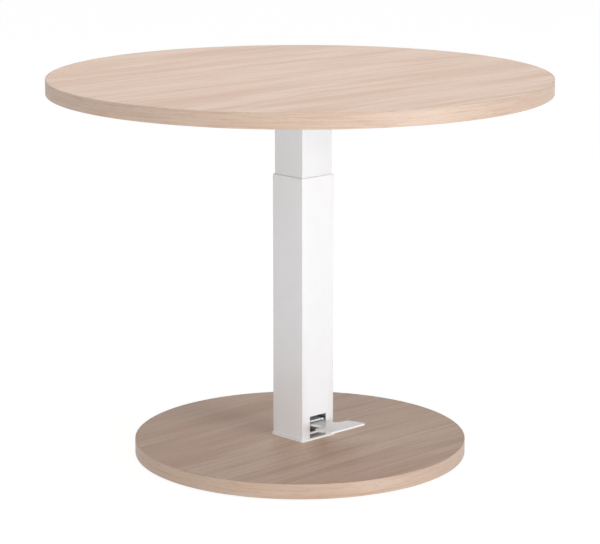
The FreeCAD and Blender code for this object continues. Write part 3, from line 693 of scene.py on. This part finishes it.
class Workpiece:
    """A mesh that is modelled with Blender's own tools, from a primitive to the finished piece."""

    def __init__(self, name: str) -> None:
        """Takes over the primitive that was just added and puts its place into its mesh.

        Args:
            name: The name of the finished piece.
        """
        self.obj: bpy.types.Object = bpy.context.object
        self.obj.name = name
        self.obj.data.name = name
        bpy.ops.object.transform_apply(location=True, rotation=True, scale=True)

    @classmethod
    def box(cls, name: str, low: Vector, high: Vector) -> Workpiece:
        """Starts a piece from a box between two corners.

        Args:
            name: The name of the finished piece.
            low: The lowest corner.
            high: The highest corner.

        Returns:
            The piece, still a plain box.
        """
        bpy.ops.object.select_all(action="DESELECT")
        bpy.ops.mesh.primitive_cube_add(size=1.0, location=(low + high) / 2, scale=high - low)
        return cls(name)

    @classmethod
    def round(
        cls,
        name: str,
        radius: float,
        low: Vector,
        high: Vector,
        segments: int,
        start: float = 0.0,
    ) -> Workpiece:
        """Starts a piece from a round bar between two points.

        Args:
            name: The name of the finished piece.
            radius: The bar's radius.
            low: The middle of one end.
            high: The middle of the other end.
            segments: How many sides the bar has.
            start: How far the bar is turned about its own axis.

        Returns:
            The piece, still a plain bar.
        """
        bpy.ops.object.select_all(action="DESELECT")
        along = high - low
        turn = along.to_track_quat("Z", "Y").to_euler()
        if along.x == 0 and along.y == 0:
            turn = (0.0, 0.0, start)
        bpy.ops.mesh.primitive_cylinder_add(
            vertices=segments, radius=radius, depth=along.length, location=(low + high) / 2, rotation=turn
        )
        return cls(name)

    def copied(self, name: str) -> Workpiece:
        """Copies the piece, with a mesh of its own.

        Args:
            name: The name of the copy.

        Returns:
            The copy.
        """
        bpy.ops.object.select_all(action="DESELECT")
        self.obj.select_set(True)
        bpy.context.view_layer.objects.active = self.obj
        bpy.ops.object.duplicate()
        return Workpiece(name)

    def pick(self, kind: Pick, test: Test) -> Workpiece:
        """Selects the faces, edges or points that pass a test, and nothing else.

        Args:
            kind: What is selected.
            test: Takes the middle of a face, edge or point, and its normal or, for an edge, its direction.

        Returns:
            This piece, in edit mode.
        """
        bpy.ops.object.mode_set(mode="EDIT")
        bpy.ops.mesh.select_mode(type=kind.value)
        bpy.ops.mesh.select_all(action="DESELECT")
        mesh = bmesh.from_edit_mesh(self.obj.data)
        if kind is Pick.FACES:
            found = [face for face in mesh.faces if test(face.calc_center_median(), face.normal)]
        elif kind is Pick.EDGES:
            found = [
                edge
                for edge in mesh.edges
                if test(
                    (edge.verts[0].co + edge.verts[1].co) / 2,
                    (edge.verts[1].co - edge.verts[0].co).normalized(),
                )
            ]
        else:
            found = [point for point in mesh.verts if test(point.co, point.normal)]
        for item in found:
            item.select_set(True)
        mesh.select_flush_mode()
        bmesh.update_edit_mesh(self.obj.data)
        if not found:
            raise ValueError(f"nothing was picked on {self.obj.name}")
        return self

    def modify(self, kind: str, **settings: Any) -> Workpiece:
        """Adds a modifier and applies it.

        Args:
            kind: The modifier's type name.
            **settings: The modifier's properties.

        Returns:
            This piece, in object mode.
        """
        bpy.ops.object.mode_set(mode="OBJECT")
        modifier = self.obj.modifiers.new(kind.lower(), kind)
        for name, value in settings.items():
            setattr(modifier, name, value)
        bpy.ops.object.modifier_apply(modifier=modifier.name)
        return self

    def soften(self, width: float, steps: int = 2) -> Workpiece:
        """Rounds every sharp edge by a small width."""
        return self.modify(
            "BEVEL", width=width, segments=steps, limit_method="ANGLE", angle_limit=SHARP_TURN
        )

    def done(self, smooth_under: float = math.radians(35)) -> bpy.types.Object:
        """Recalculates the normals, smooths the round stretches and leaves edit mode.

        Args:
            smooth_under: Edges that turn by less than this are shaded smooth.

        Returns:
            The finished object, at the origin, with its place in its mesh.
        """
        bpy.ops.object.mode_set(mode="EDIT")
        bpy.ops.mesh.select_all(action="SELECT")
        bpy.ops.mesh.normals_make_consistent(inside=False)
        bpy.ops.object.mode_set(mode="OBJECT")
        bpy.ops.object.shade_smooth_by_angle(angle=smooth_under)
        return self.obj


@dataclass
class SubAssembly:
    """A group of pieces of the table that are modelled and dressed together."""

    nodes: dict[str, bpy.types.Object]

    def dress(self, finish: Finish, *names: str) -> None:
        """Gives CAD nodes their finish.

        Args:
            finish: The finish to wear.
            *names: The nodes that wear it.
        """
        for name in names:
            node = self.nodes[name]
            for place in node.material_slots:
                place.material = finish.material()
            LOG.info("%s wears %s", name, finish.name)

    def fit(
        self,
        piece: bpy.types.Object,
        body: str,
        finish: Finish,
        slot: str,
        stands_for: str | None = None,
    ) -> None:
        """Finishes a new piece and lets it ride on its body.

        Args:
            piece: The new piece.
            body: The body that it moves with.
            finish: The finish to wear.
            slot: The record's material slot of that finish; it is not used.
            stands_for: The CAD node that it replaces, if any.
        """
        piece.data.materials.clear()
        piece.data.materials.append(finish.material())
        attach(piece, body)
        if stands_for:
            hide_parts(stands_for)
        LOG.info("%s rides on %s with %d faces", piece.name, body, len(piece.data.polygons))


@dataclass
class RoundBoard(SubAssembly):
    """A round board of chipboard between two sheets, with edging glued round its rim."""

    part: str
    body: str
    face: OakDecor
    edging: OakDecor
    segments: int = 360
    arris: float = 0.001
    arris_steps: int = 4
    glue_line: float = 0.0003
    joint_width: float = 0.0006
    joint_depth: float = 0.0003
    joint_aim: float = math.cos(math.radians(0.1))
    # Shares of the edging's thickness, counted from its outside: the bore lies past the first of them,
    # and the rim before the second.
    bore_share: float = 0.75
    rim_share: float = 0.25

    def build(self) -> None:
        """Models the face sheet and the edging, and dresses what lies under them."""
        self.build_sheet()
        self.build_edging()
        self.dress(CHIPBOARD, f"{self.part}_board")
        self.dress(BACKING, f"{self.part}_backing")

    def build_sheet(self) -> None:
        """Models the oak sheet, with a scraped edge that leaves a hairline beside the edging."""
        node = f"{self.part}_laminate"
        low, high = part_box(node)
        radius = high.x
        sheet = Workpiece.round(
            f"{self.part}_oak_sheet", radius, Vector((0, 0, low.z)), Vector((0, 0, high.z)), self.segments
        )
        sheet.pick(Pick.EDGES, lambda middle, way: middle.z > high.z - self.glue_line / 2)
        bpy.ops.mesh.bevel(offset=self.glue_line, segments=1)
        self.fit(sheet.done(), self.body, self.face, "oak_laminate", node)

    def build_edging(self) -> None:
        """Models the edging: a ring with rounded arrises and one butt joint, at the back."""
        node = f"{self.part}_edge_band"
        low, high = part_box(node)
        radius = high.x
        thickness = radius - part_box(f"{self.part}_laminate")[1].x
        ring = Workpiece.round(
            f"{self.part}_edging",
            radius,
            Vector((0, 0, low.z)),
            Vector((0, 0, high.z)),
            self.segments,
            self.edging.joint_angle - math.pi / 2,
        )
        ring.pick(Pick.FACES, lambda middle, normal: abs(normal.z) > ALONG_AXIS)
        bpy.ops.mesh.inset(thickness=thickness, use_individual=True)
        bpy.ops.mesh.delete(type="FACE")
        bore = radius - self.bore_share * thickness
        ring.pick(Pick.EDGES, lambda middle, way: middle.xy.length < bore)
        bpy.ops.mesh.bridge_edge_loops()
        rim = radius - self.rim_share * thickness
        ring.pick(Pick.EDGES, lambda middle, way: middle.xy.length > rim and abs(way.z) < ALONG_AXIS)
        bpy.ops.mesh.bevel(offset=self.arris, segments=self.arris_steps)
        joint = Vector((math.cos(self.edging.joint_angle), math.sin(self.edging.joint_angle)))
        ring.pick(
            Pick.EDGES,
            lambda middle, way: abs(way.z) > ALONG_AXIS and middle.xy.dot(joint) > rim
            and middle.xy.normalized().dot(joint) > self.joint_aim,
        )
        bpy.ops.mesh.bevel(offset=self.joint_width / 2, segments=1)
        sunk = -self.joint_depth * joint
        bpy.ops.mesh.extrude_region_move(TRANSFORM_OT_translate={"value": (sunk.x, sunk.y, 0.0)})
        self.fit(ring.done(), self.body, self.edging, "oak_edge", node)


@dataclass
class Column(SubAssembly):
    """Two square steel tubes that telescope, the foot of the outer one and the sleeves between them."""

    corner_radius: float = 0.002
    corner_steps: int = 6
    outer_wall: float = 0.0015
    inner_wall: float = 0.002
    window_width: float = 0.045
    window_height: float = 0.045
    window_corner: float = 0.001
    window_corner_steps: int = 3
    cut_edge: float = 0.0003

    def build(self) -> None:
        """Models the two tubes and dresses the flange and the sleeves."""
        self.build_tube("outer_column", "base", self.outer_wall, POWDER_COAT, windowed=True)
        self.build_tube("inner_column", "lift", self.inner_wall, SHADED_INNER_COAT, windowed=False)
        self.dress(BORE_SHADED_COAT, "column_flange")
        self.dress(WHITE_NYLON, "upper_guide_sleeve", "lower_guide_sleeve")

    def build_tube(self, node: str, body: str, wall: float, coat: Coating, windowed: bool) -> None:
        """Models one tube: four walls, rounded corners, thickness, and edges as a saw and a file leave them.

        Args:
            node: The CAD node that the tube stands for.
            body: The body that it moves with.
            wall: The thickness of its walls.
            coat: The coat that it wears.
            windowed: Whether the pedal's window is cut into its front.
        """
        low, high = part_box(node)
        tube = Workpiece.box(f"{node}_tube", low, high)
        tube.pick(Pick.FACES, lambda middle, normal: abs(normal.z) > ALONG_AXIS)
        bpy.ops.mesh.delete(type="FACE")
        tube.pick(Pick.EDGES, lambda middle, way: abs(way.z) > ALONG_AXIS)
        bpy.ops.mesh.bevel(offset=self.corner_radius, segments=self.corner_steps)
        if windowed:
            self.cut_window(tube, low, high)
        tube.modify("SOLIDIFY", thickness=wall, offset=-1.0, use_even_offset=True)
        tube.soften(self.cut_edge)
        self.fit(tube.done(), body, coat, "white_powder_coat", node)

    def cut_window(self, tube: Workpiece, low: Vector, high: Vector) -> None:
        """Cuts the pedal's window into the foot of the front wall.

        Args:
            tube: The tube, still without thickness.
            low: The tube's lowest corner.
            high: The tube's highest corner.
        """
        axis = (low.x + high.x) / 2
        left = axis - self.window_width / 2
        right = axis + self.window_width / 2
        lintel = low.z + self.window_height
        front = low.y + self.corner_radius / 2
        for side in (left, right):
            tube.pick(Pick.FACES, lambda middle, normal: middle.y < front and normal.y < -ALONG_AXIS)
            bpy.ops.mesh.bisect(plane_co=(side, 0.0, 0.0), plane_no=(1.0, 0.0, 0.0))
        tube.pick(Pick.FACES, lambda middle, normal: middle.y < front and left < middle.x < right)
        bpy.ops.mesh.bisect(plane_co=(0.0, 0.0, lintel), plane_no=(0.0, 0.0, 1.0))
        tube.pick(
            Pick.FACES,
            lambda middle, normal: middle.y < front and left < middle.x < right and middle.z < lintel,
        )
        bpy.ops.mesh.delete(type="FACE")
        tube.pick(
            Pick.POINTS,
            lambda point, normal: point.y < front and abs(point.z - lintel) < self.window_corner / 2,
        )
        bpy.ops.mesh.bevel(
            offset=self.window_corner, segments=self.window_corner_steps, affect="VERTICES"
        )


@dataclass
class TopFixings(SubAssembly):
    """The plate that carries the top, its screws and inserts, and the welds that hold it to the column."""

    weld_radius: float = 0.0032
    weld_sides: int = 16
    weld_ripples: int = 34
    weld_share: float = 0.8
    ripple_share: float = 0.9
    crater_share: float = 0.45

    def build(self) -> None:
        """Models the four weld runs and dresses the plate and its hardware."""
        self.build_welds()
        self.dress(POWDER_COAT, "top_mounting_plate")
        self.dress(ZINC, "top_plate_screws", "table_top_inserts")

    def build_welds(self) -> None:
        """Models one rippled weld run and copies it round the head of the inner column."""
        low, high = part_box("inner_column")
        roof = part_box("top_mounting_plate")[0].z
        axis = (low + high) / 2
        reach = self.weld_share * (high.x - axis.x)
        start = Vector((high.x, axis.y - reach, roof))
        end = Vector((high.x, axis.y + reach, roof))
        first = Workpiece.round("plate_weld_1", self.weld_radius, start, end, self.weld_sides)
        self.ripple(first, start, end)
        for outwards in ((1.0, 0.0, 0.0), (0.0, 0.0, -1.0)):
            first.pick(Pick.FACES, lambda middle, normal: True)
            bpy.ops.mesh.bisect(plane_co=start, plane_no=outwards, use_fill=True, clear_inner=True)
        runs = [first.done()]
        for number in (1, 2, 3):
            run = first.copied(f"plate_weld_{number + 1}")
            run.pick(Pick.FACES, lambda middle, normal: True)
            bpy.ops.transform.rotate(
                value=-number * math.pi / 2, orient_axis="Z", center_override=(axis.x, axis.y, roof)
            )
            runs.append(run.done())
        for piece in runs:
            self.fit(piece, "lift", POWDER_COAT, "white_powder_coat")

    def ripple(self, run: Workpiece, start: Vector, end: Vector) -> None:
        """Draws a bar in at every second ring, and more at its ends, as a weld sets.

        Args:
            run: The weld run, still a plain bar.
            start: The middle of its first end.
            end: The middle of its last end.
        """
        run.pick(Pick.EDGES, lambda middle, way: abs(way.y) > ALONG_AXIS)
        bpy.ops.mesh.subdivide(number_cuts=self.weld_ripples)
        step = (end.y - start.y) / (self.weld_ripples + 1)
        run.pick(Pick.POINTS, lambda point, normal: round((point.y - start.y) / step) % 2 == 1)
        bpy.ops.transform.resize(
            value=(self.ripple_share, 1.0, self.ripple_share), center_override=tuple(start)
        )
        run.pick(
            Pick.POINTS, lambda point, normal: min(point.y - start.y, end.y - point.y) < step / 2
        )
        bpy.ops.transform.resize(
            value=(self.crater_share, 1.0, self.crater_share), center_override=tuple(start)
        )


@dataclass
class PedalGear(SubAssembly):
    """The foot pedal, the bridge bracket that it hangs in, and its pin, bushes and clips."""

    def build(self) -> None:
        """Dresses the pedal and what carries it."""
        self.dress(POLISHED_LIT_COAT, "foot_pedal")
        self.dress(POWDER_COAT, "pedal_bracket", "pedal_pivot_pin")
        self.dress(WHITE_NYLON, "pedal_bushes")
        self.dress(ZINC, "pivot_pin_clips")


@dataclass
class GasSpring(SubAssembly):
    """The lockable gas spring inside the column, and the pin that unlocks it."""

    def build(self) -> None:
        """Dresses the spring's pieces."""
        self.dress(ENAMEL, "gas_spring_cylinder", "gas_spring_end_plug")
        self.dress(CHROME, "gas_spring_rod", "release_pin")
        self.dress(ALLOY, "gas_spring_piston", "gas_spring_rod_guide")
        self.dress(RUBBER, "gas_spring_piston_ring", "gas_spring_rod_seal")
        self.dress(ZINC, "gas_spring_rod_nut", "gas_spring_stud_nut")


@dataclass
class BaseFixings(SubAssembly):
    """What holds the column to the base, and what the base stands on."""

    def build(self) -> None:
        """Dresses the clamp plate, the bolts, the nuts and the glides."""
        self.dress(ZINC, "base_clamp_plate", "base_bolts", "flange_weld_nuts", "glide_screws")
        self.dress(GREY_NYLON, "floor_glides")


@dataclass
class Lamp:
    """One soft studio lamp, aimed at a point of the table."""

    name: str
    place: tuple[float, float, float]
    aim: tuple[float, float, float]
    width: float
    height: float
    watts: float
    mirrored: bool = True

    def build(self) -> None:
        """Hangs the lamp where no view sees it, and where shiny faces mirror it only if they should."""
        turn = (Vector(self.aim) - Vector(self.place)).to_track_quat("-Z", "Y").to_euler()
        bpy.ops.object.light_add(type="AREA", location=self.place, rotation=turn)
        lamp = bpy.context.object
        lamp.name = self.name
        lamp.data.shape = "RECTANGLE"
        lamp.data.size = self.width
        lamp.data.size_y = self.height
        lamp.data.energy = self.watts
        lamp.visible_camera = False
        lamp.visible_glossy = self.mirrored


@dataclass
class Studio:
    """A white studio: pale floor, even light all round, soft lamps and the photograph's camera."""

    floor_size: float = 60.0
    floor_colour: str = "E6E6E6"
    floor_glow: float = 0.90
    floor_shade: str = "8F8F8F"
    ambient: float = 0.33
    camera_place: tuple[float, float, float] = (-3.160, -3.330, 1.383)
    camera_pitch: float = math.radians(-12.405)
    camera_heading: float = math.radians(-43.5)
    photo_width_px: float = 600.0
    photo_focal_px: float = 2342.0
    sensor_mm: float = 36.0
    lamps: list[Lamp] = field(
        default_factory=lambda: [
            Lamp("overhead_softbox", (0.0, 0.0, 3.4), (0.0, 0.0, 0.77), 1.3, 1.3, 42.0),
            Lamp("key_panel", (0.75, -3.80, 1.15), (0.0, 0.0, 0.45), 1.6, 1.1, 37.0, mirrored=False),
            Lamp("edge_panel", (0.36, -3.98, 0.45), (0.0, 0.0, 0.45), 1.1, 0.6, 43.0),
            Lamp("fill_panel", (-3.58, -1.78, 0.55), (0.0, 0.0, 0.45), 2.2, 0.8, 55.0, mirrored=False),
        ]
    )

    def build(self) -> None:
        """Lays the floor, lights the room and sets up the camera."""
        self.build_floor()
        self.build_world()
        for lamp in self.lamps:
            lamp.build()
        self.build_camera()

    def seen(self, tree: bpy.types.NodeTree) -> bpy.types.NodeSocket:
        """Tells rays that show the room, straight, mirrored or through glass, from those that only light it.

        Args:
            tree: The node tree to draw in.

        Returns:
            An output that is 1 where the room is shown.
        """
        path = add_node(tree, "ShaderNodeLightPath")
        shown = path.outputs["Is Camera Ray"]
        for ray in ("Is Glossy Ray", "Is Transmission Ray"):
            shown = add_node(
                tree, "ShaderNodeMath", {0: shown, 1: path.outputs[ray]}, operation="ADD", use_clamp=True
            ).outputs["Value"]
        return shown

    def build_floor(self) -> None:
        """Lays a floor that shows white, with the table's own soft shadow."""
        bpy.ops.object.select_all(action="DESELECT")
        bpy.ops.mesh.primitive_plane_add(size=self.floor_size)
        floor = bpy.context.object
        floor.name = "studio_floor"
        paint = bpy.data.materials.new("white_studio_vinyl")
        paint.use_nodes = True
        tree = paint.node_tree
        tree.nodes.clear()
        lit = add_node(tree, "ShaderNodeBsdfDiffuse", {"Color": linear(self.floor_colour)})
        shade = add_node(tree, "ShaderNodeBsdfDiffuse", {"Color": linear(self.floor_shade)})
        glow = add_node(tree, "ShaderNodeEmission", {"Strength": self.floor_glow})
        shown = add_node(tree, "ShaderNodeAddShader", {0: shade.outputs["BSDF"], 1: glow.outputs["Emission"]})
        mix = {0: self.seen(tree), 1: lit.outputs["BSDF"], 2: shown.outputs["Shader"]}
        both = add_node(tree, "ShaderNodeMixShader", mix)
        add_node(tree, "ShaderNodeOutputMaterial", {"Surface": both.outputs["Shader"]})
        floor.data.materials.append(paint)

    def build_world(self) -> None:
        """Lights the room evenly from all round, and shows it white."""
        world = bpy.data.worlds.new("white_room")
        bpy.context.scene.world = world
        world.use_nodes = True
        tree = world.node_tree
        tree.nodes.clear()
        lit = add_node(tree, "ShaderNodeBackground", {"Color": linear("FFFFFF"), "Strength": self.ambient})
        shown = add_node(tree, "ShaderNodeBackground", {"Color": linear("FFFFFF"), "Strength": 1.0})
        mix = {0: self.seen(tree), 1: lit.outputs["Background"], 2: shown.outputs["Background"]}
        both = add_node(tree, "ShaderNodeMixShader", mix)
        add_node(tree, "ShaderNodeOutputWorld", {"Surface": both.outputs["Shader"]})

    def build_camera(self) -> None:
        """Sets up the camera at the photograph's place, angle and focal length."""
        turn = (math.pi / 2 + self.camera_pitch, 0.0, self.camera_heading)
        bpy.ops.object.camera_add(location=self.camera_place, rotation=turn)
        camera = bpy.context.object
        camera.name = "photo_camera"
        camera.data.sensor_width = self.sensor_mm
        camera.data.lens = self.sensor_mm * self.photo_focal_px / self.photo_width_px
        bpy.context.scene.camera = camera
        bpy.context.scene.view_settings.view_transform = "Standard"


def main() -> None:
    """Loads the frame and builds the table's looks in order."""
    logging.basicConfig(level=logging.INFO, format="%(message)s")
    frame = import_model()
    nodes = frame["nodes"]
    assemblies = [
        RoundBoard(nodes, "table_top", "lift", TOP_OAK, TOP_EDGING),
        RoundBoard(nodes, "base", "base", SHADED_BASE_OAK, BASE_EDGING),
        Column(nodes),
        TopFixings(nodes),
        PedalGear(nodes),
        GasSpring(nodes),
        BaseFixings(nodes),
    ]
    for assembly in assemblies:
        LOG.info("building the %s", type(assembly).__name__)
        assembly.build()
    Studio().build()


if __name__ == "__main__":
    main()
